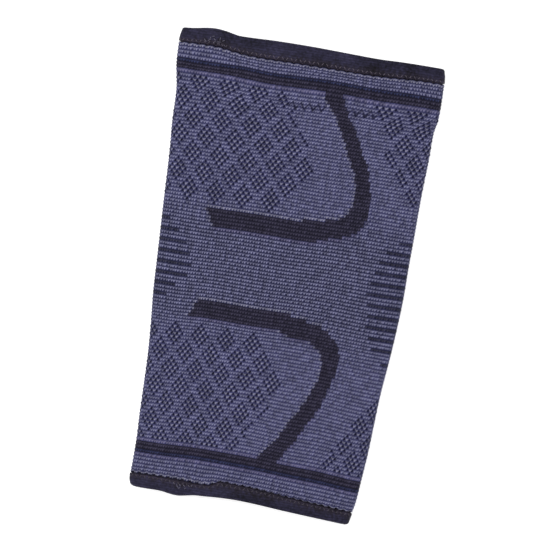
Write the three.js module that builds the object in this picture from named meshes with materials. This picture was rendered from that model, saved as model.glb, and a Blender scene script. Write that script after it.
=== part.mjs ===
// Elbow support: a seamless knitted compression sleeve lying flat, both mouths edged with elastic tape.
// Millimetres. +Y runs up the arm to the wide mouth, +X is to the right seen from above,
// and z = 0 is the surface that the sleeve lies on.
import * as THREE from "three";

// Walls
const KNIT_WALL = 1.8;
const TAPE_WALL = 2.2;
const SEWN_GAP = 0.3; // between the knit's cut edge and the tape that edges it

// Where the knit ends, and how far each tape stands out past it
const KNIT_LOWER_END = -105.6;
const KNIT_UPPER_END = 105;
const UPPER_TAPE_WIDTH = 8.1;
const LOWER_TAPE_WIDTH = 6.5;

// Flattened tube: flat below, round at the side folds, domed above
const FOLD_THICKNESS = 6; // both walls together, beside a fold
const FOLD_REACH = 4.5; // how far the round of a fold runs in from the side
const DOME_POWER = 1.3; // above 1 the dome runs out gently towards the folds

// Cross-sections along the arm: the side folds seen from above, and the height of the dome
const SECTIONS = [
  { y: -113, left: -53.2, right: 52.4, crown: 12.8 },
  { y: -111, left: -55.2, right: 54, crown: 12.9 },
  { y: -109, left: -55.7, right: 54.2, crown: 13 },
  { y: -101, left: -55.7, right: 55.8, crown: 13.2 },
  { y: -91, left: -55.6, right: 56.7, crown: 13.4 },
  { y: -76, left: -56.1, right: 58, crown: 13.8 },
  { y: -61, left: -56.4, right: 58.7, crown: 14.2 },
  { y: -46, left: -56.8, right: 59.5, crown: 14.5 },
  { y: -31, left: -57.8, right: 61, crown: 14.7 },
  { y: -16, left: -59.1, right: 62.2, crown: 14.8 },
  { y: -1, left: -59.8, right: 63, crown: 14.8 },
  { y: 14, left: -60.5, right: 63.1, crown: 14.7 },
  { y: 29, left: -61.2, right: 63.4, crown: 14.6 },
  { y: 49, left: -62, right: 63.7, crown: 14.4 },
  { y: 69, left: -63.3, right: 64.5, crown: 14.2 },
  { y: 82, left: -63.7, right: 64.8, crown: 14.1 },
  { y: 87, left: -64.5, right: 65.8, crown: 14.2 },
  { y: 94, left: -65.6, right: 66.1, crown: 14.2 },
  { y: 105, left: -66.1, right: 65.9, crown: 14 },
  { y: 109, left: -65.9, right: 65.6, crown: 13.8 },
  { y: 113.5, left: -65.1, right: 64.7, crown: 13.5 },
];

// How far the rows of the knit sag at the narrow mouth, from the left fold to the right one
const LOWER_MOUTH_SAG = [
  { x: -56, drop: 0 },
  { x: -10, drop: -0.8 },
  { x: 20, drop: 0.5 },
  { x: 56, drop: 2.7 },
];
const SAG_STARTS = -25; // rows above this lie straight
const SAG_FULL = -95;

// Where the two ends of each tape are lapped and sewn, on the upper side of the sleeve
const UPPER_JOIN = { x: -49.5, reach: 14, lip: 1.5, rise: 0.8 };
const LOWER_JOIN = { x: -31.5, reach: 10, lip: 1.2, rise: 0.8 };

// How far the lip of each tape strays outward, from the left fold to the right one
const UPPER_LIP = [
  { x: -66, out: -0.25 },
  { x: -50, out: -0.05 },
  { x: -43, out: 0 },
  { x: -37, out: -0.35 },
  { x: -30, out: -0.3 },
  { x: -20, out: 0 },
  { x: 0, out: 0 },
  { x: 16, out: -0.4 },
  { x: 33, out: -0.7 },
  { x: 45, out: -0.3 },
  { x: 66, out: -0.2 },
];
const LOWER_LIP = [
  { x: -56, out: 0.3 },
  { x: -47, out: 0.65 },
  { x: -31, out: 0.7 },
  { x: -19, out: 0.45 },
  { x: -11, out: -0.1 },
  { x: -3, out: -0.45 },
  { x: 7, out: -0.45 },
  { x: 21, out: -0.1 },
  { x: 30, out: 0 },
  { x: 55, out: 0 },
];

// Fineness of the faceted walls
const SIDES = 60;
const LIP_STEPS = 4;
const CLOSEST_STATIONS = 2; // sections nearer than this to an end of the knit make no ring of their own

const KNIT = new THREE.MeshStandardMaterial({ color: 0x4d4e6a, roughness: 0.9, metalness: 0 });
const TAPE = new THREE.MeshStandardMaterial({ color: 0x2d2b3c, roughness: 0.75, metalness: 0 });

// Smooth curve through one column of a table, as a function of another column.
function curveThrough(rows, along, column) {
  const positions = rows.map((row) => row[along]);
  const values = rows.map((row) => row[column]);
  const curve = new THREE.CubicInterpolant(positions, values, 1);
  return (position) => curve.evaluate(position)[0];
}

const leftFold = curveThrough(SECTIONS, "y", "left");
const rightFold = curveThrough(SECTIONS, "y", "right");
const crownHeight = curveThrough(SECTIONS, "y", "crown");
const mouthSag = curveThrough(LOWER_MOUTH_SAG, "x", "drop");
const upperLip = curveThrough(UPPER_LIP, "x", "out");
const lowerLip = curveThrough(LOWER_LIP, "x", "out");

// How much lower a row of the knit lies at x than at a straight mouth.
function sag(x, y) {
  return mouthSag(x) * THREE.MathUtils.smoothstep(-y, -SAG_STARTS, -SAG_FULL);
}

// Bump over a tape's lapped join: 1 at its middle, running out smoothly to 0 at its reach.
function lap(join, x) {
  return 1 - THREE.MathUtils.smoothstep(Math.abs(x - join.x), 0, join.reach);
}

// One point of a cross-section, at a turn round it and a depth below its outer surface.
// The underside is flat, a quarter ellipse rounds each fold, and a dome is added above.
function sectionPoint(y, turn, depth) {
  const left = leftFold(y) + depth;
  const right = rightFold(y) - depth;
  const halfWidth = (right - left) / 2;
  const reach = FOLD_REACH - depth;
  const share = Math.cos(turn);
  const pastFlat = Math.max(0, Math.abs(share) * halfWidth - (halfWidth - reach)) / reach;
  const halfThickness = (FOLD_THICKNESS / 2 - depth) * Math.sqrt(Math.max(0, 1 - pastFlat ** 2));
  const x = (left + right) / 2 + share * halfWidth;
  const above = Math.sin(turn) > 0;
  const dome = (crownHeight(y) - FOLD_THICKNESS) * (1 - share ** 2) ** DOME_POWER;
  const z = FOLD_THICKNESS / 2 + (above ? halfThickness + dome : -halfThickness);
  return new THREE.Vector3(x, y - sag(x, y), z);
}

// A ring of points round the sleeve, from the right fold over the top.
function ring(pointAt) {
  return Array.from({ length: SIDES }, (_, side) => pointAt((2 * Math.PI * side) / SIDES));
}

// Closed wall skinned over rings that run up its outside and back down its inside.
function wallOver(rings) {
  const positions = rings.flat().flatMap((point) => point.toArray());
  const indices = [];
  rings.forEach((_, row) => {
    const here = row * SIDES;
    const next = ((row + 1) % rings.length) * SIDES;
    for (let side = 0; side < SIDES; side++) {
      const beside = (side + 1) % SIDES;
      indices.push(here + side, next + side, next + beside);
      indices.push(here + side, next + beside, here + beside);
    }
  });
  const geometry = new THREE.BufferGeometry();
  geometry.setAttribute("position", new THREE.Float32BufferAttribute(positions, 3));
  geometry.setIndex(indices);
  geometry.computeVertexNormals();
  return geometry;
}

// Stations of the knit: its two ends, each section between them and the middle of each stretch.
function knitStations() {
  const between = SECTIONS.map((section) => section.y).filter(
    (y) => y > KNIT_LOWER_END + CLOSEST_STATIONS && y < KNIT_UPPER_END - CLOSEST_STATIONS,
  );
  const rows = [KNIT_LOWER_END, ...between, KNIT_UPPER_END];
  return rows.flatMap((y, i) => (i === 0 ? [y] : [(rows[i - 1] + y) / 2, y]));
}

function knitSleeve() {
  const stations = knitStations();
  const outside = stations.map((y) => ring((turn) => sectionPoint(y, turn, 0)));
  const inside = stations.map((y) => ring((turn) => sectionPoint(y, turn, KNIT_WALL)));
  return wallOver([...outside, ...inside.reverse()]);
}

// Section of a tape as {out, depth}: along its outer face, round its lip and back along its inner face.
function tapeSection(width) {
  const lipRadius = TAPE_WALL / 2;
  const flat = width - lipRadius;
  const lip = Array.from({ length: LIP_STEPS + 1 }, (_, step) => {
    const turn = (Math.PI * step) / LIP_STEPS;
    return { out: flat + lipRadius * Math.sin(turn), depth: lipRadius * (1 - Math.cos(turn)) };
  });
  return [
    { out: 0, depth: 0 },
    { out: flat / 2, depth: 0 },
    ...lip,
    { out: flat / 2, depth: TAPE_WALL },
    { out: 0, depth: TAPE_WALL },
  ];
}

// Tape round a mouth: its section carried round the sleeve, wider and thicker where its ends lap,
// its lip straying as the given function of x says.
function binding(knitEnd, width, join, lipStray) {
  const outward = Math.sign(knitEnd);
  const start = knitEnd + outward * SEWN_GAP;
  const rings = tapeSection(width).map(({ out, depth }) =>
    ring((turn) => {
      const point = sectionPoint(start + outward * out, turn, depth);
      const lapped = Math.sin(turn) > 0 ? lap(join, point.x) : 0;
      point.y += outward * (join.lip * lapped + lipStray(point.x)) * (out / width);
      point.z += join.rise * lapped * (1 - depth / TAPE_WALL);
      return point;
    }),
  );
  return wallOver(outward > 0 ? rings : rings.reverse());
}

function named(name, geometry, material) {
  const mesh = new THREE.Mesh(geometry, material);
  mesh.name = name;
  return mesh;
}

const elbowSupport = new THREE.Group();
elbowSupport.add(
  named("knit_sleeve", knitSleeve(), KNIT),
  named("upper_binding", binding(KNIT_UPPER_END, UPPER_TAPE_WIDTH, UPPER_JOIN, upperLip), TAPE),
  named("lower_binding", binding(KNIT_LOWER_END, LOWER_TAPE_WIDTH, LOWER_JOIN, lowerLip), TAPE),
);

export default elbowSupport;
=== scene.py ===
"""Looks of a knitted elbow support: a compression sleeve lying flat, seen from straight above.

Each piece is a grid of points worked out with numpy in millimetres and put into its mesh in metres.
A place on the sleeve is named by its wale, counted round the sleeve from the middle of the upper side
towards +X, and its course, counted along the arm towards +Y. A wale's middle lies at a half number and
a course's middle at a whole one.
"""

import logging
import math
from dataclasses import dataclass
from enum import Enum, IntEnum
from typing import Optional, Sequence, Union

import bpy
import numpy as np
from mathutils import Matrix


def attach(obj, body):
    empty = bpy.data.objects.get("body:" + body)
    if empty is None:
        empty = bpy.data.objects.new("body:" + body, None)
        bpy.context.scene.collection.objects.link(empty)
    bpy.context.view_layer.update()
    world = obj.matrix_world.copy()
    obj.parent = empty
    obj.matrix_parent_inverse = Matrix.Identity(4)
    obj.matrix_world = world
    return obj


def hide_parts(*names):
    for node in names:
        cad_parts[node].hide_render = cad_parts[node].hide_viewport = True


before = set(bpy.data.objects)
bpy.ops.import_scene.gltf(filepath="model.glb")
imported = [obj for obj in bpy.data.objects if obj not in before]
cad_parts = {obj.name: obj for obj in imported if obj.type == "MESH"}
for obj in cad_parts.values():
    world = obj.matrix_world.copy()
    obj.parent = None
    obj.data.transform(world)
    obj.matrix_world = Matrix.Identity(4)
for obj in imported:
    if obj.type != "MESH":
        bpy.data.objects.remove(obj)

LOG = logging.getLogger("elbow_support")
MM = 0.001
BODY = "root"
BAKE_MAP = "OFBake"
BAKE_MARGIN = 0.004
STITCH_MAP = "stitches"
TAPE_MAP = "tape"
YARN_SHARES = "yarn_shares"
TRIM_SHARES = "trim_shares"
FOLD_WALE = 47.0  # wales from the middle of the upper side to a side fold
KNIT_LOWER_END = -105.6  # y of the knit's lower edge, in millimetres
KNIT_UPPER_END = 105.0  # y of its upper edge
SMALLEST = 1e-12  # keeps a length that divides from being zero

Array = np.ndarray
Colour = tuple[float, float, float]
Span = tuple[float, float]
Ramp = tuple[float, float, float, float]
Table = tuple[tuple[float, ...], ...]
Feed = Union["Value", float, Colour]
Feeds = dict[Union[str, int], Feed]


# Numbers


def smoothstep(values: Array, low: float, high: float) -> Array:
    """Smooth change from 0 at low to 1 at high: 3t^2 - 2t^3 of the share t of the way.

    Args:
        values: Where the change is read.
        low: Value at which it is 0, on either side of high.
        high: Value at which it is 1.

    Returns:
        The share at each value.
    """
    share = np.clip((values - low) / (high - low), 0.0, 1.0)
    return share**2 * (3.0 - 2.0 * share)


def curve_through(table: Table, at: Array, column: int = 1) -> Array:
    """Cubic curve through a table's rows, whose slope at a row is the mean of the slopes beside it.

    Args:
        table: Rows with rising positions in column 0.
        at: Positions at which the curve is read; past the ends it keeps the end values.
        column: Column that holds the curve's values.

    Returns:
        The curve's value at each position.
    """
    rows = np.array(table, dtype=float)
    knots, values = rows[:, 0], rows[:, column]
    secants = np.diff(values) / np.diff(knots)
    slopes = np.concatenate([secants[:1], (secants[:-1] + secants[1:]) / 2, secants[-1:]])
    inside = np.clip(at, knots[0], knots[-1])
    span = np.clip(np.searchsorted(knots, inside) - 1, 0, len(knots) - 2)
    width = knots[span + 1] - knots[span]
    t = (inside - knots[span]) / width
    from_start = values[span] * (1 + 2 * t) * (1 - t) ** 2 + slopes[span] * width * t * (1 - t) ** 2
    to_end = values[span + 1] * t**2 * (3 - 2 * t) - slopes[span + 1] * width * t**2 * (1 - t)
    return from_start + to_end


def unit(vectors: Array) -> Array:
    """Vectors scaled to length 1."""
    return vectors / np.maximum(np.linalg.norm(vectors, axis=-1, keepdims=True), SMALLEST)


def linear(*screen: int) -> Colour:
    """Screen colour, 0 to 255 a channel, as linear light: ((c + 0.055) / 1.055)^2.4, or c / 12.92 if dark."""
    shares = [channel / 255 for channel in screen]
    return tuple(c / 12.92 if c <= 0.04045 else ((c + 0.055) / 1.055) ** 2.4 for c in shares)


# Form of the sleeve


@dataclass(frozen=True)
class SleeveForm:
    """Shape of the flattened tube, in millimetres, that the knit and both tapes follow.

    Attributes:
        wales: Stitches round the sleeve.
        fold_thickness: Both walls together, beside a side fold.
        fold_reach: How far the round of a fold runs in from the side.
        dome_power: Above 1 the dome runs out gently towards the folds.
        sag_span: The rows lie straight above the first y and sag in full below the second.
        sections: Rows of y, left fold, right fold and height of the dome.
        mouth_sag: Rows of x and drop of the narrow mouth.
        upper_edge: Rows of x and how far the knit's upper edge strays along the arm.
        lower_edge: The same for its lower edge.
        upper_lip: Rows of x and how far the upper tape's lip strays outward.
        lower_lip: The same for the lower tape's lip.
        turn_samples: Points at which the length round the middle section is measured.
    """

    wales: int = 188
    fold_thickness: float = 6.0
    fold_reach: float = 4.5
    dome_power: float = 1.3
    sag_span: Span = (-25.0, -95.0)
    sections: Table = (
        (-113, -53.2, 52.4, 12.8), (-111, -55.2, 54, 12.9), (-109, -55.7, 54.2, 13),
        (-101, -55.7, 55.8, 13.2), (-91, -55.6, 56.7, 13.4), (-76, -56.1, 58, 13.8),
        (-61, -56.4, 58.7, 14.2), (-46, -56.8, 59.5, 14.5), (-31, -57.8, 61, 14.7),
        (-16, -59.1, 62.2, 14.8), (-1, -59.8, 63, 14.8), (14, -60.5, 63.1, 14.7),
        (29, -61.2, 63.4, 14.6), (49, -62, 63.7, 14.4), (69, -63.3, 64.5, 14.2),
        (82, -63.7, 64.8, 14.1), (87, -64.5, 65.8, 14.2), (94, -65.6, 66.1, 14.2),
        (105, -66.1, 65.9, 14), (109, -65.9, 65.6, 13.8), (113.5, -65.1, 64.7, 13.5),
    )
    mouth_sag: Table = ((-56, 0), (-10, -0.8), (20, 0.5), (56, 2.7))
    upper_edge: Table = (
        (-66, 1.0), (-53, 1.4), (-46, 1.2), (-38, 0), (-31, -0.7), (0, -0.7), (34, -0.6), (54, 0.6),
        (66, 0.7),
    )
    lower_edge: Table = (
        (-56, -0.5), (-42, -0.7), (-30, -1.2), (-15.5, -1.0), (-12.7, 0.8), (-4, 1.1), (9, 1.0), (24, 0.2),
        (54, -0.4),
    )
    upper_lip: Table = (
        (-66, -0.25), (-50, -0.05), (-43, 0), (-37, -0.35), (-30, -0.3), (-20, 0), (0, 0), (16, -0.4),
        (33, -0.7), (45, -0.3), (66, -0.2),
    )
    lower_lip: Table = (
        (-56, 0.3), (-47, 0.65), (-31, 0.7), (-19, 0.45), (-11, -0.1), (-3, -0.45), (7, -0.45), (21, -0.1),
        (30, 0), (55, 0),
    )
    turn_samples: int = 8001

    def sag(self, x: Array, y: Array) -> Array:
        """How much lower a row lies at x than in a straight mouth."""
        return curve_through(self.mouth_sag, x) * smoothstep(y, *self.sag_span)

    def edge_shift(self, x: Array, outward: float) -> Array:
        """How far the knit's edge strays along the arm at x, at the mouth on the outward side."""
        return curve_through(self.upper_edge if outward > 0 else self.lower_edge, x)

    def lip_shift(self, x: Array, outward: float) -> Array:
        """How far the tape's lip strays outward at x, at the mouth on the outward side."""
        return curve_through(self.upper_lip if outward > 0 else self.lower_lip, x)

    def point(self, y: Array, turn: Array, depth: Array) -> Array:
        """Points of the cross-sections: flat below, a quarter ellipse at each fold, a dome added above.

        With share = cos(turn), x runs from fold to fold with the share. The half thickness falls as
        sqrt(1 - p^2) over the fold's reach, and the dome adds (1 - share^2)^power of its height above.

        Args:
            y: Place along the arm before the sag is taken off.
            turn: Angle round the section from the right fold over the top.
            depth: Distance in from the outer surface.

        Returns:
            Points with x, y and z on the last axis.
        """
        y, turn, depth = np.broadcast_arrays(y, turn, depth)
        left = curve_through(self.sections, y, 1) + depth
        right = curve_through(self.sections, y, 2) - depth
        crown = curve_through(self.sections, y, 3)
        half_width = (right - left) / 2
        reach = self.fold_reach - depth
        share = np.cos(turn)
        past_flat = np.maximum(0.0, np.abs(share) * half_width - (half_width - reach)) / reach
        half = (self.fold_thickness / 2 - depth) * np.sqrt(np.maximum(0.0, 1 - past_flat**2))
        x = (left + right) / 2 + share * half_width
        dome = (crown - self.fold_thickness) * np.maximum(0.0, 1 - share**2) ** self.dome_power
        z = self.fold_thickness / 2 + np.where(np.sin(turn) > 0, half + dome, -half)
        return np.stack([x, y - self.sag(x, y), z], axis=-1)

    def turn_at(self, wale: Array) -> Array:
        """Angle round the section of a wale, with the wales spread evenly along the middle section.

        Args:
            wale: Places round the sleeve, from minus half the wales to plus half.

        Returns:
            The angle at each place.
        """
        turns = np.linspace(1.5 * math.pi, -0.5 * math.pi, self.turn_samples)
        steps = np.linalg.norm(np.diff(self.point(0.0, turns, 0.0), axis=0), axis=-1)
        lengths = np.concatenate([[0.0], np.cumsum(steps)])
        return np.interp(wale, (lengths / lengths[-1] - 0.5) * self.wales, turns)

    def outward(self, y: Array, turn: Array, step: float = 0.3) -> Array:
        """Direction out of the sleeve: from a point a step inside the surface to one a step above it."""
        return unit(self.point(y, turn, -step) - self.point(y, turn, step))


# Chart of the knit


class Stitch(IntEnum):
    """What a stitch of the sleeve is."""

    HEATHER = 0
    CHARCOAL = 1
    NAVY = 2
    INK = 3
    PALE = 4
    LONG = 5
    ZIGZAG = 6
    DASH = 7


class Side(Enum):
    """Side of the sleeve that a dash runs in from."""

    LEFT = -1
    RIGHT = 1


@dataclass(frozen=True)
class Diagonal:
    """Edge of a lattice: stitches stay where wale_sign * wale + course_sign * course <= limit."""

    wale_sign: int
    course_sign: int
    courses: tuple[int, int]
    limit: float

    def keeps(self, wale: Array, course: Array) -> Array:
        """True for the stitches inside the edge, and for those of courses that it doesn't cover."""
        inside = self.wale_sign * wale + self.course_sign * course <= self.limit
        return inside | (course < self.courses[0]) | (course > self.courses[1])


@dataclass(frozen=True)
class LatticePanel:
    """Field of diamond clusters that repeat every ten wales and ten courses, with a half drop between.

    Attributes:
        wale: Middle of one cluster round the sleeve.
        course: Middle of the same cluster along the arm.
        courses: First and last course of the panel.
        rows: Lowest and highest course on which a cluster may have its middle.
        middles: Lowest and highest wale on which a cluster may have its middle.
        edges: Diagonals that end the panel.
        repeat: Wales and courses from one cluster to the next.
        reach: Steps from a cluster's middle to its outermost dark stitches.
    """

    wale: float
    course: int
    courses: tuple[int, int]
    rows: tuple[int, int]
    middles: tuple[int, int]
    edges: tuple[Diagonal, ...]
    repeat: int = 10
    reach: int = 3

    def draw(self, kinds: Array, wale: Array, course: Array) -> None:
        """Sets the panel's dark and light stitches: a checkerboard inside each diamond.

        A stitch at dw wales and dc courses from a cluster's middle is dark where |dw| + |dc| is odd
        and at most the reach, and light where it is even and below the reach.

        Args:
            kinds: The chart that is filled in.
            wale: Each stitch's wale.
            course: Each stitch's course.
        """
        kept = (course >= self.courses[0]) & (course <= self.courses[1])
        for edge in self.edges:
            kept = kept & edge.keeps(wale, course)
        for drop in (0, self.repeat // 2):
            middle = self.wale + drop
            row = self.course + drop
            middle = middle + self.repeat * np.round((wale - middle) / self.repeat)
            row = row + self.repeat * np.round((course - row) / self.repeat)
            steps = np.round(np.abs(wale - middle) + np.abs(course - row)).astype(int)
            cluster = kept & (middle >= self.middles[0]) & (middle <= self.middles[1])
            cluster = cluster & (row >= self.rows[0]) & (row <= self.rows[1])
            kinds[cluster & (steps < self.reach) & (steps % 2 == 0)] = Stitch.PALE
            kinds[cluster & (steps <= self.reach) & (steps % 2 == 1)] = Stitch.INK


UPPER_LEFT_LATTICE = LatticePanel(
    wale=2.5,
    course=31,
    courses=(18, 52),
    rows=(21, 51),
    middles=(-53, 13),
    edges=(
        Diagonal(1, 1, (18, 37), 38),
        Diagonal(1, 1, (38, 46), 40.7),
        Diagonal(1, 1, (47, 52), 43),
        Diagonal(1, -1, (18, 47), -25),
    ),
)
LOWER_LEFT_LATTICE = LatticePanel(
    wale=3.5,
    course=-30,
    courses=(-50, -17),
    rows=(-50, -20),
    middles=(-52, 14),
    edges=(
        Diagonal(1, -1, (-36, -17), 39),
        Diagonal(1, -1, (-45, -37), 41),
        Diagonal(1, -1, (-50, -46), 43),
        Diagonal(1, 1, (-50, -17), -23),
    ),
)
UPPER_RIGHT_LATTICE = LatticePanel(
    wale=31.5,
    course=37,
    courses=(24, 52),
    rows=(27, 52),
    middles=(26, 52),
    edges=(Diagonal(-1, -1, (24, 40), -69), Diagonal(-1, -1, (41, 52), -74)),
)
LOWER_RIGHT_LATTICE = LatticePanel(
    wale=35.5,
    course=-42,
    courses=(-50, -29),
    rows=(-52, -32),
    middles=(30, 51),
    edges=(
        Diagonal(-1, 1, (-38, -29), -74),
        Diagonal(-1, 1, (-45, -39), -76),
        Diagonal(-1, 1, (-50, -46), -78),
    ),
)
LATTICES = (UPPER_LEFT_LATTICE, LOWER_LEFT_LATTICE, UPPER_RIGHT_LATTICE, LOWER_RIGHT_LATTICE)

# Dark courses that run in from a side fold, above and below alike: each course and the x of its end
DASHES = {
    Side.LEFT: (
        (12, -56.3), (9, -50.8), (6, -46.7), (3, -43.7), (0, -42.2), (-3, -43.7), (-6, -48.2), (-9, -52.2),
    ),
    Side.RIGHT: (
        (15, 56.4), (12, 51.5), (9, 48.3), (6, 47.0), (3, 45.6), (0, 44.8), (-3, 45.5), (-6, 46.7),
        (-9, 46.1), (-12, 49.2), (-15, 50.9), (-19, 57.0),
    ),
}

# Outlines of the two support bands seen from above, each from its stripe round its bend to its end
UPPER_BAND = (
    (7.2, 94), (12.7, 84.2), (16.7, 79.2), (19.7, 74.2), (22.2, 69.2), (27.2, 59.2), (29.7, 54.2),
    (30.7, 49.2), (31.2, 44.2), (30.7, 39.2), (29.8, 35.8), (28.6, 34.1), (25.1, 32.4), (19.0, 30.6),
    (8.0, 28.9), (7.0, 28.2), (-39.9, 28.2), (-34.9, 19.1), (16.0, 19.1), (16.5, 20.0), (21.5, 21.8),
    (28.6, 23.5), (32.4, 25.3), (35.3, 27.1), (36.7, 28.9), (38.0, 32.4), (39.2, 35.8), (39.4, 39.2),
    (39.2, 44.2), (37.7, 49.2), (36.7, 54.2), (35.2, 59.2), (29.9, 69.2), (27.5, 74.2), (24.5, 79.2),
    (21.2, 84.2), (16.2, 94),
)
LOWER_BAND = (
    (-35.9, -17.2), (4.5, -17.2), (8.9, -18.1), (18.2, -19.9), (24.8, -21.6), (28.8, -23.4), (31.0, -25.0),
    (33.7, -27.0), (34.9, -29.5), (35.8, -32.0), (36.2, -34.0), (36.2, -40.8), (33.2, -50.8), (30.7, -60.8),
    (25.2, -70.8), (19.7, -80.8), (13.0, -91), (3.0, -91), (11.2, -80.8), (16.2, -70.8), (22.1, -60.8),
    (26.4, -50.8), (28.4, -44.8), (28.4, -38.8), (27.8, -36.2), (26.8, -34.0), (24.2, -32.0), (22.2, -30.6),
    (21.0, -29.4), (10.9, -28.5), (5.6, -26.8), (5.0, -25.6), (-40.4, -25.6),
)


def inside_outline(outline: Table, x: Array, y: Array) -> Array:
    """Points inside a closed outline: those with an odd number of its sides to their right.

    Args:
        outline: Corners of the outline, in order.
        x: Points' x.
        y: Points' y.

    Returns:
        True for each point inside.
    """
    inside = np.zeros(x.shape, dtype=bool)
    for (x0, y0), (x1, y1) in zip(outline, outline[1:] + outline[:1]):
        if y0 != y1:
            crossing = x0 + (y - y0) * (x1 - x0) / (y1 - y0)
            inside ^= ((y0 > y) != (y1 > y)) & (x < crossing)
    return inside


@dataclass(frozen=True)
class StitchChart:
    """Which stitch of the sleeve is knitted in which yarn.

    Attributes:
        first_course: Lowest course.
        last_course: Highest course.
        course_rows: Rows of course and y, from the knit's lower edge to its upper one.
        stripes: Kind of each striped course.
        zigzag_courses: First and last course of the thin zigzag under the upper stripe.
        zigzag_spans: Stretches of x that have the zigzag.
    """

    first_course: int = -60
    last_course: int = 60
    course_rows: Table = (
        (-60.5, -106.6), (-54.5, -95.7), (-51.5, -90.1), (-45, -78.75), (-30, -52.05), (-20, -34.8),
        (-17, -29.7), (-14.5, -25.8), (-9.5, -17.3), (0, -1.1), (11.5, 19.1), (16.5, 28.0), (31, 53.3),
        (46, 79.1), (52.5, 90.4), (53.5, 92.7), (56.5, 98.3), (60.5, 105.0),
    )
    stripes: tuple[tuple[int, Stitch], ...] = (
        (56, Stitch.NAVY), (55, Stitch.CHARCOAL), (54, Stitch.CHARCOAL), (53, Stitch.LONG),
        (-51, Stitch.LONG), (-52, Stitch.CHARCOAL), (-53, Stitch.CHARCOAL), (-54, Stitch.NAVY),
        (-55, Stitch.LONG),
    )
    zigzag_courses: tuple[int, int] = (47, 51)
    zigzag_spans: tuple[Span, ...] = ((-8.0, 10.0), (22.0, 36.5))

    def y_at(self, course: Array) -> Array:
        """Place along the arm of a course."""
        return curve_through(self.course_rows, course)

    def courses(self) -> Array:
        """The courses of the knit, from the lowest up."""
        return np.arange(self.first_course, self.last_course + 1)

    def draw(self, form: SleeveForm) -> Array:
        """Fills the chart: lattices, dashes, zigzag, stripes and support bands, each over the last.

        Stitches just above a band and to its left are pale, and those just below it are long. The sewn
        courses at both ends are pale.

        Args:
            form: The sleeve that the chart lies on.

        Returns:
            Kind of each stitch, courses by wales.
        """
        wales = np.arange(form.wales) + 0.5 - form.wales / 2
        wale, course = np.meshgrid(wales, self.courses())
        place = form.point(self.y_at(course), form.turn_at(wale), 0.0)
        x, y = place[..., 0], place[..., 1]
        above = np.abs(wale) < FOLD_WALE
        kinds = np.full(wale.shape, Stitch.HEATHER, dtype=int)
        for panel in LATTICES:
            panel.draw(kinds, wale, course)
        for side, dashes in DASHES.items():
            for dashed, end in dashes:
                kinds[(course == dashed) & ((x - end) * side.value > 0)] = Stitch.DASH
        zigzag = above & (course >= self.zigzag_courses[0]) & (course <= self.zigzag_courses[1])
        for low, high in self.zigzag_spans:
            kinds[zigzag & (kinds == Stitch.HEATHER) & (x > low) & (x < high)] = Stitch.ZIGZAG
        for striped, kind in self.stripes:
            kinds[course == striped] = kind
        band = inside_outline(UPPER_BAND, x, y) | inside_outline(LOWER_BAND, x, y)
        band = band & above & (kinds != Stitch.NAVY)
        plain = np.isin(kinds, (Stitch.HEATHER, Stitch.ZIGZAG))
        kinds[plain & np.roll(band, -1, axis=0)] = Stitch.LONG
        beside = np.roll(band, 1, axis=1) | np.roll(band, 2, axis=1)
        kinds[plain & ~beside & (np.roll(band, 1, axis=0) | np.roll(band, -1, axis=1))] = Stitch.PALE
        kinds[band] = Stitch.CHARCOAL
        kinds[(course == self.first_course) | (course == self.last_course)] = Stitch.PALE
        return kinds


# Meshes


def corner_values(rows: Array, columns: Array) -> Array:
    """Pairs of column value and row value at the four corners of each quad of a grid.

    Args:
        rows: Value at each row of corners, one more than there are rows of quads.
        columns: Value at each column of corners, one more than there are columns of quads.

    Returns:
        Pairs by row, column and corner, in the order in which the quads list their corners.
    """
    across, along = np.meshgrid(columns, rows)
    pairs = np.stack([across, along], axis=-1)
    return np.stack([pairs[:-1, :-1], pairs[:-1, 1:], pairs[1:, 1:], pairs[1:, :-1]], axis=2)


def add_map(mesh: bpy.types.Mesh, name: str, values: Array) -> None:
    """Gives a mesh a UV map with one pair of values for each corner."""
    mesh.uv_layers.new(name=name).data.foreach_set("uv", values.astype(np.float32).ravel())


def grid_quads(rows: int, columns: int, closed: bool) -> Array:
    """Quads between rings of points: (i, j), (i, j + 1), (i + 1, j + 1), (i + 1, j).

    Args:
        rows: Number of rings.
        columns: Points of each ring.
        closed: Whether the last ring is joined to the first.

    Returns:
        The numbers of each quad's four corners.
    """
    row, column = np.meshgrid(np.arange(rows if closed else rows - 1), np.arange(columns), indexing="ij")
    here, above, beside = row * columns, (row + 1) % rows * columns, (column + 1) % columns
    return np.stack([here + column, here + beside, above + beside, above + column], axis=-1).reshape(-1, 4)


def placed(mesh: bpy.types.Mesh) -> bpy.types.Object:
    """Puts a mesh into the scene, smoothly shaded.

    Args:
        mesh: The mesh.

    Returns:
        An object of the mesh's name.
    """
    mesh.polygons.foreach_set("use_smooth", np.ones(len(mesh.polygons), dtype=bool))
    mesh.update(calc_edges=True)
    piece = bpy.data.objects.new(mesh.name, mesh)
    bpy.context.scene.collection.objects.link(piece)
    return piece


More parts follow.
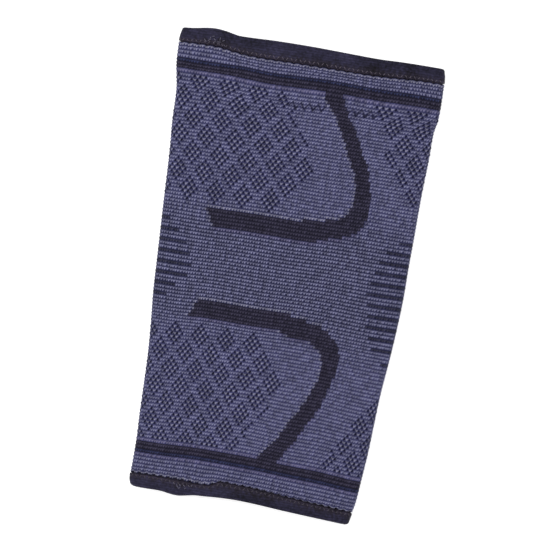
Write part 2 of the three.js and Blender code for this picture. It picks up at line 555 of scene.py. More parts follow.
def ring_skin(name: str, rings: Array) -> bpy.types.Object:
    """Closed skin over rings of points: each ring joined to the next, and the last to the first.

    Its bake map lays the grid of quads out in the unit square.

    Args:
        name: Name of the piece.
        rings: Points by ring and place round the ring, in millimetres.

    Returns:
        The piece, linked to the scene.
    """
    rows, columns = rings.shape[:2]
    quads = grid_quads(rows, columns, closed=True)
    mesh = bpy.data.meshes.new(name)
    mesh.vertices.add(rows * columns)
    mesh.vertices.foreach_set("co", (rings * MM).astype(np.float32).ravel())
    mesh.loops.add(quads.size)
    mesh.loops.foreach_set("vertex_index", quads.astype(np.int32).ravel())
    mesh.polygons.add(len(quads))
    mesh.polygons.foreach_set("loop_start", np.arange(0, quads.size, 4, dtype=np.int32))
    piece = placed(mesh)
    along, across = (np.linspace(BAKE_MARGIN, 1 - BAKE_MARGIN, count + 1) for count in (rows, columns))
    add_map(mesh, BAKE_MAP, corner_values(along, across))
    return piece


def tube_rings(path: Array, outward: Array, radius: Array, sides: int, closed: bool) -> Array:
    """Rings of a round thread: path + radius * (cos a * outward + sin a * (along x outward)).

    Args:
        path: Points along the thread.
        outward: Direction off the surface at each point.
        radius: Radius at each point.
        sides: Corners of each ring.
        closed: Whether the path comes back to its start.

    Returns:
        Points by ring and corner.
    """
    if closed:
        along = np.roll(path, -1, axis=0) - np.roll(path, 1, axis=0)
    else:
        along = np.gradient(path, axis=0)
    along = unit(along)
    lifted = unit(outward - along * np.sum(outward * along, axis=-1, keepdims=True))
    sideways = np.cross(along, lifted)
    angle = np.linspace(0, 2 * math.pi, sides, endpoint=False)[None, :, None]
    ring = np.cos(angle) * lifted[:, None, :] + np.sin(angle) * sideways[:, None, :]
    return path[:, None, :] + radius[:, None, None] * ring


def tufts(name: str, strands: Sequence[Array]) -> bpy.types.Object:
    """Short open threads in one mesh, each skinned along its rings and closed by a cap at both ends.

    Args:
        name: Name of the piece.
        strands: Rings of each thread, in millimetres.

    Returns:
        The piece, linked to the scene.
    """
    faces: list[list[int]] = []
    start = 0
    for rings in strands:
        rows, sides = rings.shape[:2]
        faces.extend((start + grid_quads(rows, sides, closed=False)).tolist())
        faces.append(list(range(start + sides - 1, start - 1, -1)))
        faces.append(list(range(start + (rows - 1) * sides, start + rows * sides)))
        start += rows * sides
    points = np.concatenate([rings.reshape(-1, 3) for rings in strands])
    mesh = bpy.data.meshes.new(name)
    mesh.from_pydata((points * MM).tolist(), [], faces)
    return placed(mesh)


def tie(piece: bpy.types.Object, material: bpy.types.Material, node: Optional[str] = None) -> None:
    """Puts a material on a piece and ties it to the frame.

    Args:
        piece: The piece.
        material: Its material.
        node: The solid that the piece stands for, if any.
    """
    piece.data.materials.append(material)
    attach(piece, BODY)
    if node:
        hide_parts(node)


def report(piece: bpy.types.Object) -> None:
    """Logs a piece's name and its triangles: all the corners of its faces less two for each face."""
    mesh = piece.data
    LOG.info("%s: %d triangles", piece.name, len(mesh.loops) - 2 * len(mesh.polygons))


# Shader nodes


@dataclass(frozen=True)
class Value:
    """What a shader node puts out, with Python's sums on it turned into Math nodes."""

    sketch: "NodeSketch"
    socket: bpy.types.NodeSocket

    def __add__(self, other: Feed) -> "Value":
        """The two together."""
        return self.sketch.math("ADD", self, other)

    def __sub__(self, other: Feed) -> "Value":
        """What is left when the other is taken off."""
        return self.sketch.math("SUBTRACT", self, other)

    def __rsub__(self, other: Feed) -> "Value":
        """What is left of the other when this is taken off."""
        return self.sketch.math("SUBTRACT", other, self)

    def __mul__(self, other: Feed) -> "Value":
        """The one times the other."""
        return self.sketch.math("MULTIPLY", self, other)

    def __truediv__(self, other: Feed) -> "Value":
        """This divided by the other."""
        return self.sketch.math("DIVIDE", self, other)

    def __pow__(self, power: float) -> "Value":
        """This to a power."""
        return self.sketch.math("POWER", self, power)

    def __abs__(self) -> "Value":
        """This without its sign."""
        return self.sketch.math("ABSOLUTE", self)


class NodeSketch:
    """Short words for adding nodes to a tree and joining them up."""

    def __init__(self, tree: bpy.types.NodeTree) -> None:
        """Starts on a tree."""
        self.tree = tree

    def feed(self, node: bpy.types.Node, feeds: Feeds) -> None:
        """Links a node's inputs to values, or sets them.

        Args:
            node: The node that is fed.
            feeds: A value, a number or a colour for each input, by name or number.
        """
        for name, source in feeds.items():
            target = node.inputs[name]
            if isinstance(source, Value):
                self.tree.links.new(source.socket, target)
            elif target.type == "RGBA":
                target.default_value = (*source, 1.0)
            else:
                target.default_value = source

    def node(self, kind: str, feeds: Optional[Feeds] = None, **settings: object) -> bpy.types.Node:
        """Adds a node, sets its properties and feeds its inputs.

        Args:
            kind: Blender's name of the node's type.
            feeds: What goes into which input.
            **settings: Properties of the node.

        Returns:
            The node.
        """
        made = self.tree.nodes.new(kind)
        for name, setting in settings.items():
            setattr(made, name, setting)
        self.feed(made, feeds or {})
        return made

    def value(
        self, kind: str, feeds: Optional[Feeds] = None, output: Union[str, int] = 0, **settings: object
    ) -> Value:
        """One output of a node that is added as node() adds it."""
        return Value(self, self.node(kind, feeds, **settings).outputs[output])

    def split(self, kind: str, whole: Value) -> list[Value]:
        """The parts into which a node of a kind splits a vector or a colour."""
        return [Value(self, part) for part in self.node(kind, {0: whole}).outputs]

    def math(self, operation: str, *values: Feed) -> Value:
        """Result of a Math node on the values."""
        return self.value("ShaderNodeMath", dict(enumerate(values)), operation=operation)

    def blend(self, share: Feed, first: Feed, second: Feed) -> Value:
        """Colour that goes from the first to the second with the share."""
        return self.value("ShaderNodeMix", {0: share, 6: first, 7: second}, 2, data_type="RGBA")

    def tint(self, colour: Feed, tone: Feed) -> Value:
        """Colour made lighter or darker by a tone round 1."""
        return self.value("ShaderNodeVectorMath", {0: colour, "Scale": tone}, operation="SCALE")

    def rise(self, value: Feed, low: float, high: float, start: float = 0.0, end: float = 1.0) -> Value:
        """Smooth change from start to end as the value goes from low to high."""
        feeds = {"Value": value, 1: low, 2: high, 3: start, 4: end}
        return self.value("ShaderNodeMapRange", feeds, interpolation_type="SMOOTHSTEP")

    def between(self, share: Value, ends: Span) -> Value:
        """Value that goes evenly from the first end to the second with the share."""
        return share * (ends[1] - ends[0]) + ends[0]

    def wave(self, phase: Value) -> Value:
        """Cosine of a phase counted in turns."""
        return self.math("COSINE", phase * (2 * math.pi))

    def centred(self, value: Value) -> Value:
        """Fraction of a value with the middle between two whole numbers at 0, from -1/2 to 1/2."""
        return self.math("FRACT", value) - 0.5

    def chance(self, column: Value, row: Value) -> Value:
        """White noise between -1/2 and 1/2, one value for each whole column and row.

        Args:
            column: Place across.
            row: Place along.

        Returns:
            The noise.
        """
        corner = {0: self.math("FLOOR", column), 1: self.math("FLOOR", row)}
        vector = self.value("ShaderNodeCombineXYZ", corner)
        return self.value("ShaderNodeTexWhiteNoise", {"Vector": vector}, noise_dimensions="2D") - 0.5

    def noise(self, place: Value, scale: Feed, detail: float, roughness: float = 0.5) -> Value:
        """Soft noise between 0 and 1."""
        feeds = {"Vector": place, "Scale": scale, "Detail": detail, "Roughness": roughness}
        return self.value("ShaderNodeTexNoise", feeds)

    def shares(self, attribute: str) -> list[Value]:
        """The three shares kept in a colour attribute."""
        kept = self.value("ShaderNodeAttribute", output="Color", attribute_name=attribute)
        return self.split("ShaderNodeSeparateColor", kept)

    def fuzz(self, fibre: bpy.types.NodeTree, place: Value, scale: float, strength: float) -> list[Value]:
        """Tone and height of the fuzz of spun yarn."""
        feeds = {"Vector": place, "Scale": scale, "Strength": strength}
        return [Value(self, part) for part in self.node("ShaderNodeGroup", feeds, node_tree=fibre).outputs]

    def bump(self, height: Value, strength: float, distance: float) -> Value:
        """Normal bumped by a height, whose full range stands up by the distance."""
        return self.value("ShaderNodeBump", {"Height": height, "Strength": strength, "Distance": distance})


def fibre_group() -> bpy.types.NodeTree:
    """Node group for the fuzz of spun yarn: fine noise with a slower mottle under it.

    Returns:
        A group with the inputs Vector, Scale and Strength and the outputs Tone, round 1, and Height.
    """
    slow_share = 0.4
    slow_scale = 0.11
    group = bpy.data.node_groups.new("yarn_fibre", "ShaderNodeTree")
    for name, kind in (("Vector", "Vector"), ("Scale", "Float"), ("Strength", "Float")):
        group.interface.new_socket(name, in_out="INPUT", socket_type="NodeSocket" + kind)
    for name in ("Tone", "Height"):
        group.interface.new_socket(name, in_out="OUTPUT", socket_type="NodeSocketFloat")
    sketch = NodeSketch(group)
    given = sketch.node("NodeGroupInput").outputs
    place, scale, strength = (Value(sketch, given[name]) for name in ("Vector", "Scale", "Strength"))
    fine = sketch.noise(place, scale, detail=3.0, roughness=0.65)
    slow = sketch.noise(place, scale * slow_scale, detail=2.0)
    mixed = fine * (1 - slow_share) + slow * slow_share
    sketch.node("NodeGroupOutput", {"Tone": (mixed - 0.5) * strength + 1.0, "Height": fine})
    return group


def new_material(name: str) -> tuple[bpy.types.Material, NodeSketch, bpy.types.Node]:
    """Empty node material with a Principled shader wired to its output.

    Args:
        name: Name of the material.

    Returns:
        The material, a sketch of its tree, and the shader.
    """
    material = bpy.data.materials.new(name)
    material.use_nodes = True
    material.node_tree.nodes.clear()
    sketch = NodeSketch(material.node_tree)
    shader = sketch.node("ShaderNodeBsdfPrincipled")
    sketch.node("ShaderNodeOutputMaterial", {"Surface": Value(sketch, shader.outputs[0])})
    return material, sketch, shader


# Finishes


@dataclass(frozen=True)
class KnitFinish:
    """Ribbed knit, heather and dark yarns: rows of slanted dabs painted light, with painted shade in the
    grooves.

    A ramp is two values and the shares that hold at them, with a smooth change between.

    Attributes:
        heather: Light yarn on the crest of a row, painted lighter there as lit.
        heather_painted_shade: Painted shade of the light yarn down in the groove at the elbow.
        calm_painted_shade: The same above and below the elbow, where the rows are calmer and the painted
            shade lighter.
        long: Smooth light rows beside the stripes.
        charcoal: Dark yarn of bands and stripes on the crest, painted lighter there as lit.
        charcoal_painted_shade: Painted shade of the dark yarn in the groove.
        navy: Blue yarn at the outer border of the stripes.
        ink: Single dark stitches.
        dash: Crests of the dark dashes at the sides, painted lighter than their ink as lit.
        pale: Light stitches that stand out between dark ones.
        fuzz: Scale and strength of the yarn's fuzz.
        rows: Share of the height that the rows make.
        beads: Ramp over the courses from the elbow of the share that the beads along a row make.
        cuff_beads: The same for the cuffs.
        leans: Shares that make the beads lean to the right and to the left.
        below: How far below a row's middle the beads stand out most, in courses.
        patches: Scale of the patches in which the beads stand out more or less.
        patchy: Ramp over these patches of how much they do.
        stray: How far a row strays from its place, in courses.
        astray: How far a bead strays from its place, in wales.
        uneven: How far one stitch's tone differs from the next one's.
        crests: Heights at which the painted shade ends and at which the crest's painted light is full.
        upper_calm: Ramp over the courses of how far the painted groove shade pales above the elbow.
        lower_calm: The same below it.
        cuff_calm: Ramp over the courses from the elbow of how much of that stays in the cuffs.
        pale_crest: Heights between which a pale stitch takes its colour.
        oval: Half width and half height of a single dark stitch.
        oval_border: Ramp of its ink, over the squared distance from its middle in half widths.
        lean: How far a single dark stitch leans to the right, in wales for each course.
        bump: Strength of the bump and its height, in metres.
        fuzz_bump: How much the fuzz adds to the bump.
        roughness: Roughness with the least fuzz and with the most.
        zigzag_wale: Wale of a low point of the zigzag.
        zigzag_half: Wales from a low point to a high one.
        zigzag_course: Course of the low points.
        zigzag_rise: Courses from low to high.
        zigzag_slope: Courses that the whole zigzag climbs to the right for each wale.
        zigzag_border: Ramp of its ink, over the courses from its line.
        zigzag_ink: Ink at its low points and at its high ones.
    """

    # Crest colours carry painted light and groove colours painted shade
    heather: Colour = linear(106, 106, 133)
    heather_painted_shade: Colour = linear(31, 32, 60)
    calm_painted_shade: Colour = linear(52, 52, 87)
    long: Colour = linear(97, 94, 122)
    charcoal: Colour = linear(54, 51, 68)
    charcoal_painted_shade: Colour = linear(22, 20, 35)
    navy: Colour = linear(43, 47, 76)
    ink: Colour = linear(16, 16, 40)
    dash: Colour = linear(52, 52, 68)
    pale: Colour = linear(112, 111, 130)
    fuzz: Span = (2.4, 1.2)
    rows: float = 0.27
    beads: Ramp = (15.0, 34.0, 0.18, 0.115)
    cuff_beads: Ramp = (52.0, 56.0, 0.0, 0.17)
    leans: Span = (0.18, 0.095)
    below: float = 0.17
    patches: float = 0.08
    patchy: Ramp = (0.4, 0.6, 0.9, 1.25)
    stray: float = 0.45
    astray: float = 0.4
    uneven: float = 0.5
    crests: Span = (0.2, 0.95)
    upper_calm: Ramp = (9.0, 24.0, 0.0, 0.6)
    lower_calm: Ramp = (-24.0, -9.0, 0.7, 0.0)
    cuff_calm: Ramp = (53.0, 57.0, 1.0, 0.65)
    pale_crest: Span = (0.3, 0.8)
    oval: Span = (0.44, 0.39)
    oval_border: Ramp = (0.4, 1.6, 1.0, 0.0)
    lean: float = 0.3
    bump: Span = (0.7, 0.00035)
    fuzz_bump: float = 0.25
    roughness: Span = (0.78, 0.94)
    zigzag_wale: float = -0.5
    zigzag_half: float = 1.5
    zigzag_course: float = 48.0
    zigzag_rise: float = 2.0
    zigzag_slope: float = 0.03
    zigzag_border: Ramp = (0.2, 0.8, 1.0, 0.0)
    zigzag_ink: Span = (0.9, 0.6)

    def zigzag(self, sketch: NodeSketch, wale: Value, course: Value) -> Value:
        """Ink of the thin zigzag: a line on a triangle wave of the wale, fainter towards its high points.

        Args:
            sketch: The material's nodes.
            wale: Place round the sleeve.
            course: Place along the arm.

        Returns:
            The share of ink.
        """
        from_low = sketch.math("PINGPONG", wale - self.zigzag_wale, self.zigzag_half)
        climb = from_low * (self.zigzag_rise / self.zigzag_half) + wale * self.zigzag_slope
        off_line = abs(course - (climb + self.zigzag_course))
        faint = sketch.rise(from_low, 0.0, self.zigzag_half, *self.zigzag_ink)
        return sketch.rise(off_line, *self.zigzag_border) * faint

    def material(self, fibre: bpy.types.NodeTree) -> bpy.types.Material:
        """Builds the knit's material from the stitch map and the yarn attributes.

        Across and along run from -1/2 to 1/2 over a stitch. The height of the knit is a half with a wave
        cos(2 pi along) for its rows, a wave cos(2 pi across) for its beads and two weaker waves
        cos(2 pi (across -+ along)) that make the beads lean. It sets the bump and the way from the painted
        shade of the groove to the crest's painted light. Single dark stitches are ovals.

        Args:
            fibre: The fuzz of spun yarn.

        Returns:
            The material.
        """
        material, sketch, shader = new_material("heather_knit")
        place = sketch.value("ShaderNodeUVMap", uv_map=STITCH_MAP)
        wale, course, _ = sketch.split("ShaderNodeSeparateXYZ", place)
        counted = course + 0.5
        across, along = sketch.centred(wale), sketch.centred(counted)
        from_elbow = abs(course)
        is_dark, is_inked, is_pale = sketch.shares(YARN_SHARES)
        is_navy, is_long, is_zigzag = sketch.shares(TRIM_SHARES)
        fuzz_tone, fuzz_height = sketch.fuzz(fibre, place, *self.fuzz)
        chance = sketch.chance(wale, counted)

        pushed = (fuzz_height - 0.5) * self.stray + along
        strayed = chance * self.astray + across
        raised = along + self.below
        right = sketch.wave(strayed - raised) * self.leans[0]
        left = sketch.wave(strayed + raised) * self.leans[1]
        calmer = sketch.rise(from_elbow, *self.beads)
        lively = sketch.math("MAXIMUM", calmer, sketch.rise(from_elbow, *self.cuff_beads))
        patch = sketch.noise(place, self.patches, detail=1.0)
        bead = (sketch.wave(strayed) * lively + right + left) * sketch.rise(patch, *self.patchy)
        height = sketch.rise(sketch.wave(pushed) * self.rows + 0.5 + bead, *self.crests)

        off_side = ((across - along * self.lean) / self.oval[0]) ** 2.0 * (1.0 - is_long)
        off_row = (pushed / self.oval[1]) ** 2.0
        oval = sketch.rise(off_side + off_row, *self.oval_border)
        zigzag = self.zigzag(sketch, wale, course) * is_zigzag
        single = sketch.math("MAXIMUM", is_inked * oval, zigzag)

        # Painted shade in the grooves: darkest at the elbow, paler where the rows are calm
        calm = sketch.math(
            "MAXIMUM", sketch.rise(course, *self.upper_calm), sketch.rise(course, *self.lower_calm)
        )
        calm = calm * sketch.rise(from_elbow, *self.cuff_calm)
        groove = sketch.blend(calm, self.heather_painted_shade, self.calm_painted_shade)
        # Painted light and shade: the height goes from the groove's painted shade to the crest's lit colour
        light = sketch.blend(height, groove, sketch.blend(is_long, self.heather, self.long))
        light = sketch.blend(is_pale * sketch.rise(height, *self.pale_crest), light, self.pale)
        # Painted shade in the grooves and painted light on the crests of the dark yarn too
        bands = sketch.blend(height, self.charcoal_painted_shade, sketch.blend(is_navy, self.charcoal, self.navy))
        # Dashes: ink in the groove, painted light on their crests
        inky = sketch.blend(height * is_long, self.ink, self.dash)
        colour = sketch.blend(single, sketch.blend(is_dark, light, bands), inky)
        tone = (chance * self.uneven + 1.0) * fuzz_tone
        sketch.feed(
            shader,
            {
                "Base Color": sketch.tint(colour, tone),
                "Normal": sketch.bump(fuzz_height * self.fuzz_bump + height, *self.bump),
                "Roughness": sketch.between(fuzz_height, self.roughness),
                "Specular IOR Level": 0.08,
                "Sheen Weight": 0.03,
                "Sheen Roughness": 0.5,
            },
        )
        return material


@dataclass(frozen=True)
class TapeFinish:
    """Smooth near-black elastic tape: a fine rib round the mouth, a soft blue sheen, duller where sewn.

    Attributes:
        face: Crests of the weave, painted lighter as lit.
        shade: Painted shade in the grooves of the weave.
        sewn: Crests beside the sewn border.
        sewn_border: Ramp of the sewn colour, over the distance out with the mottle added, in millimetres.
        mottle: How far the fuzz shifts that border.
        fuzz: Scale and strength of the yarn's fuzz.
        rib_scale: Fineness of the rib.
        bump: Strength of the bump and its height, in metres.
        roughness: Roughness in the grooves and on the crests.
    """

    face: Colour = linear(39, 37, 56)
    shade: Colour = linear(21, 19, 34)
    sewn: Colour = linear(44, 38, 48)
    sewn_border: Ramp = (3.8, 7.0, 1.0, 0.0)
    mottle: float = 3.0
    fuzz: Span = (700.0, 4.8)
    rib_scale: float = 260.0
    bump: Span = (0.5, 0.00006)
    roughness: Span = (0.6, 0.8)

    def material(self, fibre: bpy.types.NodeTree) -> bpy.types.Material:
        """Builds the tape's material from Object coordinates and the tape map.

        Args:
            fibre: The fuzz of spun yarn.

        Returns:
            The material.
        """
        material, sketch, shader = new_material("elastic_tape")
        place = sketch.value("ShaderNodeTexCoord", output="Object")
        _, out, _ = sketch.split("ShaderNodeSeparateXYZ", sketch.value("ShaderNodeUVMap", uv_map=TAPE_MAP))
        fuzz_tone, fuzz_height = sketch.fuzz(fibre, place, *self.fuzz)
        ribbing = {"Vector": place, "Scale": self.rib_scale, "Distortion": 1.5, "Detail": 1.0}
        rib = sketch.value("ShaderNodeTexWave", ribbing, 1, bands_direction="Y")
        weave = fuzz_height * 0.5 + rib * 0.5
        sewn = sketch.rise(fuzz_tone * self.mottle + out, *self.sewn_border)
        # Painted shade in the weave's grooves, painted light on its crests
        colour = sketch.blend(weave, self.shade, sketch.blend(sewn, self.face, self.sewn))
        sketch.feed(
            shader,
            {
                "Base Color": sketch.tint(colour, fuzz_tone),
                "Normal": sketch.bump(weave, *self.bump),
                "Roughness": sketch.between(weave, self.roughness),
                "Specular IOR Level": 0.1,
                "Sheen Weight": 0.04,
                "Sheen Roughness": 0.4,
                "Sheen Tint": (0.75, 0.8, 1.0),
            },
        )
        return material


@dataclass(frozen=True)
class ThreadFinish:
    """Sewing thread with the fuzz of spun yarn.

    Attributes:
        face: Fibres that stand out, painted lighter as lit.
        shade: Painted shade in the gaps between them.
        fuzz: Scale and strength of the yarn's fuzz.
        bump: Strength of the bump and its height, in metres.
        roughness: Roughness in the gaps and on the fibres.
    """

    name: str
    face: Colour
    shade: Colour
    fuzz: Span = (2600.0, 2.4)
    bump: Span = (0.4, 0.00005)
    roughness: Span = (0.5, 0.7)

    def material(self, fibre: bpy.types.NodeTree) -> bpy.types.Material:
        """Builds the thread's material from Object coordinates.

        Args:
            fibre: The fuzz of spun yarn.

        Returns:
            The material.
        """
        material, sketch, shader = new_material(self.name)
        place = sketch.value("ShaderNodeTexCoord", output="Object")
        fuzz_tone, fuzz_height = sketch.fuzz(fibre, place, *self.fuzz)
        # Painted shade in the gaps between the fibres
        colour = sketch.blend(fuzz_height, self.shade, self.face)
        sketch.feed(
            shader,
            {
                "Base Color": sketch.tint(colour, fuzz_tone),
                "Normal": sketch.bump(fuzz_height, *self.bump),
                "Roughness": sketch.between(fuzz_height, self.roughness),
            },
        )
        return material


# Knit


@dataclass(frozen=True)
class SoftPatch:
    """Part of the sleeve where the cloth is shifted, with soft borders.

    Attributes:
        shift: How far the cloth is shifted.
        across: Pairs of places across the sleeve: no shift at the first, the full one at the second.
        along: Pairs of courses, in the same way.
    """

    shift: float
    across: tuple[Span, ...]
    along: tuple[Span, ...]

    def at(self, across: Array, along: Array) -> Array:
        """The shift times a smooth step over each pair."""
        steps = [smoothstep(across, *pair) for pair in self.across]
        return self.shift * math.prod(steps + [smoothstep(along, *pair) for pair in self.along])


@dataclass(frozen=True)
class KnitSleeve:
    """The knitted tube: a relief of stitches outside, a plain wall inside, thin where the tapes tuck under.

    Attributes:
        wall: Thickness of the knit, in millimetres.
        edge_wall: Thickness at the sewn edges.
        edge_reach: How far in from a sewn edge the wall thickens to its full thickness, in courses.
        groove: Depth of the groove between two courses.
        gap: Depth of the gap between two wales.
        lifts: How far the middle of a kind of stitch stands up, or sinks if negative.
        sway: How far the rows wander along the arm.
        swell: How far the upper side swells and dips.
        swell_shift: Wales between the pattern of the sway and that of the swell.
        seed: Seed of the chances that set that pattern.
        waves: Waves that make it up.
        wave_turns: Fewest turns of a wave round the sleeve, and one more than the most.
        wave_slant: Fewest and most turns of a wave along it, where a negative one leans the other way.
        loose: Courses from the elbow between which the sewn cuffs come free to wander.
        drifts: Where the wales stray round the sleeve: on the left, under the upper stripe, at the top right.
        drift_ends: Wales from the middle between which the drift runs out, round the folds.
        hangs: Where the rows hang or are pulled along the arm: below the elbow and by the upper stripe.
        squeeze: Share of their height that rows lose where the lower tape covers them.
        upper_gather: Courses between which the rows take up the stray of the upper edge.
        lower_gather: The same for the lower edge, counted down.
        scallop: How far the upper and the lower sewn edge are drawn in between two loops.
        scallops: Loops round an edge.
        scallop_courses: Courses from the elbow between which the scallops grow.
        steps: Quads to a stitch, each way.
        inner_rows: Rows of quads of the inner wall.
    """

    form: SleeveForm
    chart: StitchChart
    finish: KnitFinish
    wall: float = 1.8
    edge_wall: float = 0.75
    edge_reach: float = 4.0
    groove: float = 0.3
    gap: float = 0.1
    lifts: tuple[tuple[Stitch, float], ...] = ((Stitch.INK, -0.1), (Stitch.PALE, 0.08))
    sway: float = 0.16
    swell: float = 0.22
    swell_shift: float = 31.0
    seed: int = 7
    waves: int = 4
    wave_turns: tuple[int, int] = (2, 8)
    wave_slant: Span = (-4.0, 4.0)
    loose: Span = (60.0, 56.0)
    drifts: tuple[SoftPatch, ...] = (
        SoftPatch(-1.0, across=((-14, -28),), along=((28, 42), (52, 47))),
        SoftPatch(0.75, across=((-36, -26), (2, -6)), along=((48, 52), (60, 54))),
        SoftPatch(2.1, across=((14, 42),), along=((46, 52), (60, 54))),
    )
    drift_ends: Span = (70.0, 47.0)
    hangs: tuple[SoftPatch, ...] = (
        SoftPatch(-0.8, across=((-30, -50),), along=((8, -18), (-46, -26))),
        SoftPatch(-1.7, across=((25, 55),), along=((8, -18), (-46, -26))),
        SoftPatch(0.9, across=((-28, -46),), along=((40, 48), (55.5, 52.5))),
        SoftPatch(-0.6, across=((-36, -20), (-4, -20)), along=((46, 53), (60, 57))),
    )
    squeeze: float = 0.97
    upper_gather: Span = (55.5, 60.5)
    lower_gather: Span = (53.5, 60.5)
    scallop: Span = (0.6, 0.9)
    scallops: int = 62
    scallop_courses: Span = (58.5, 60.5)
    steps: int = 2
    inner_rows: int = 12
    name: str = "knitted_tube"
    node: str = "knit_sleeve"

    def wander(self, wale: Array, course: Array) -> Array:
        """Slow unevenness of handled cloth, about -1 to 1: half the sum of waves that cross the sleeve.

        Args:
            wale: Places round the sleeve.
            course: Places along the arm.

        Returns:
            The unevenness at each place.
        """
        chance = np.random.default_rng(self.seed)
        turns_round = chance.integers(*self.wave_turns, self.waves)
        turns_along = chance.uniform(*self.wave_slant, self.waves)
        phases = chance.uniform(0, 2 * math.pi, self.waves)
        total = np.zeros(np.broadcast(wale, course).shape)
        for around, along, phase in zip(turns_round, turns_along, phases):
            turns = around * wale / self.form.wales + along * course / len(self.chart.courses())
            total += np.sin(2 * math.pi * turns + phase)
        return total / 2

    def base(self, wale: Array, course: Array, depth: Array) -> Array:
        """Points of the sleeve before its stitches: the form, with rows that wander and edges that scallop.

        Args:
            wale: Places round the sleeve.
            course: Places along the arm.
            depth: Distance in from the outer surface.

        Returns:
            Points in millimetres.
        """
        drift = sum(patch.at(wale, course) for patch in self.drifts)
        turn = self.form.turn_at(wale + drift * smoothstep(np.abs(wale), *self.drift_ends))
        y = self.chart.y_at(course)
        points = self.form.point(y, turn, depth)
        x = points[..., 0]
        loose = smoothstep(np.abs(course), *self.loose)
        swayed = self.sway * self.wander(wale, course) * loose
        hanging = sum(patch.at(x, course) for patch in self.hangs)

        upper_stray = self.form.edge_shift(x, 1) * smoothstep(course, *self.upper_gather)
        lower_edge = KNIT_LOWER_END + self.form.edge_shift(x, -1)
        past_rows = np.minimum(lower_edge - self.chart.course_rows[0][1], 0.0)
        lower_stray = past_rows * smoothstep(-course, *self.lower_gather)
        covered = self.squeeze * np.maximum(lower_edge - y - lower_stray, 0.0)

        between = 1 - np.abs(np.sin(math.pi * self.scallops * wale / self.form.wales))
        drawn_in = np.where(course > 0, -self.scallop[0], self.scallop[1]) * between
        scalloped = drawn_in * smoothstep(np.abs(course), *self.scallop_courses)
        points[..., 1] += swayed + hanging + upper_stray + lower_stray + covered + scalloped
        above = np.maximum(0.0, np.sin(turn))
        points[..., 2] += self.swell * self.wander(wale + self.swell_shift, course) * above * loose
        return points

    def relief(self, kinds: Array) -> Array:
        """Height of the stitches at each point of the outer grid, 0 on the crest of a plain stitch.

        Points lie on the borders of the stitches and on their middles, turn by turn. Rows on a border
        lie down in the groove, columns on a border in the gap, and some kinds lift or sink their middles.

        Args:
            kinds: Kind of each stitch, courses by wales.

        Returns:
            Heights by row and column.
        """
        rows, columns = kinds.shape[0] * self.steps + 1, kinds.shape[1] * self.steps
        row_border = np.arange(rows)[:, None] % self.steps == 0
        column_border = np.arange(columns)[None, :] % self.steps == 0
        height = -self.groove * row_border - self.gap * column_border
        for kind, lift in self.lifts:
            height[1 :: self.steps, 1 :: self.steps] += lift * (kinds == kind)
        return height

    def build(self) -> bpy.types.Object:
        """Builds the sleeve: rings up the outside, over the upper edge and back down the inside.

        Returns:
            The sleeve, with its stitch map and yarn attributes.
        """
        kinds = self.chart.draw(self.form)
        half = self.form.wales / 2
        wale = np.arange(-half, half, 1 / self.steps)[None, :]
        low, high = self.chart.first_course - 0.5, self.chart.last_course + 0.5
        outer_courses = np.linspace(low, high, kinds.shape[0] * self.steps + 1)
        inner_courses = np.linspace(high, low, self.inner_rows + 1)
        inner_courses[1] = high - self.edge_reach
        inner_courses[-2] = low + self.edge_reach
        outside = self.base(wale, outer_courses[:, None], 0.0)
        around = np.roll(outside, -1, axis=1) - np.roll(outside, 1, axis=1)
        upward = np.gradient(outside, axis=0)
        outside = outside + unit(np.cross(around, upward)) * self.relief(kinds)[..., None]
        outside[..., 2] = np.maximum(outside[..., 2], 0.0)
        from_edge = np.minimum(high - inner_courses, inner_courses - low)
        depth = self.edge_wall + (self.wall - self.edge_wall) * smoothstep(from_edge, 0, self.edge_reach)
        inside = self.base(wale, inner_courses[:, None], depth[:, None])
        piece = ring_skin(self.name, np.concatenate([outside, inside]))
        self.mark(piece.data, kinds, np.concatenate([outer_courses, inner_courses, [low]]))
        return piece

    def mark(self, mesh: bpy.types.Mesh, kinds: Array, row_courses: Array) -> None:
        """Gives the sleeve's mesh its stitch map and, for each face, the shares of its yarns and trims.

        Args:
            mesh: The sleeve's mesh.
            kinds: Kind of each stitch, courses by wales.
            row_courses: Course of each row of corners.
        """
        half = self.form.wales / 2
        columns = np.linspace(-half, half, self.form.wales * self.steps + 1)
        add_map(mesh, STITCH_MAP, corner_values(row_courses, columns))
        outer = np.repeat(np.repeat(kinds, self.steps, axis=0), self.steps, axis=1)
        faces = np.full((len(row_courses) - 1, len(columns) - 1), Stitch.HEATHER, dtype=int)
        faces[: outer.shape[0]] = outer
        for name, groups in (
            (YARN_SHARES, ((Stitch.CHARCOAL, Stitch.NAVY), (Stitch.INK, Stitch.DASH), (Stitch.PALE,))),
            (TRIM_SHARES, ((Stitch.NAVY,), (Stitch.LONG, Stitch.DASH), (Stitch.ZIGZAG,))),
        ):
            shares = [np.isin(faces, group) for group in groups] + [np.ones(faces.shape)]
            values = np.stack(shares, axis=-1).astype(np.float32)
            mesh.attributes.new(name, "FLOAT_COLOR", "FACE").data.foreach_set("color", values.ravel())

    def dress(self, piece: bpy.types.Object, fibre: bpy.types.NodeTree) -> None:
        """Puts the finish on the sleeve and ties it to the frame."""
        tie(piece, self.finish.material(fibre), self.node)


# Tapes


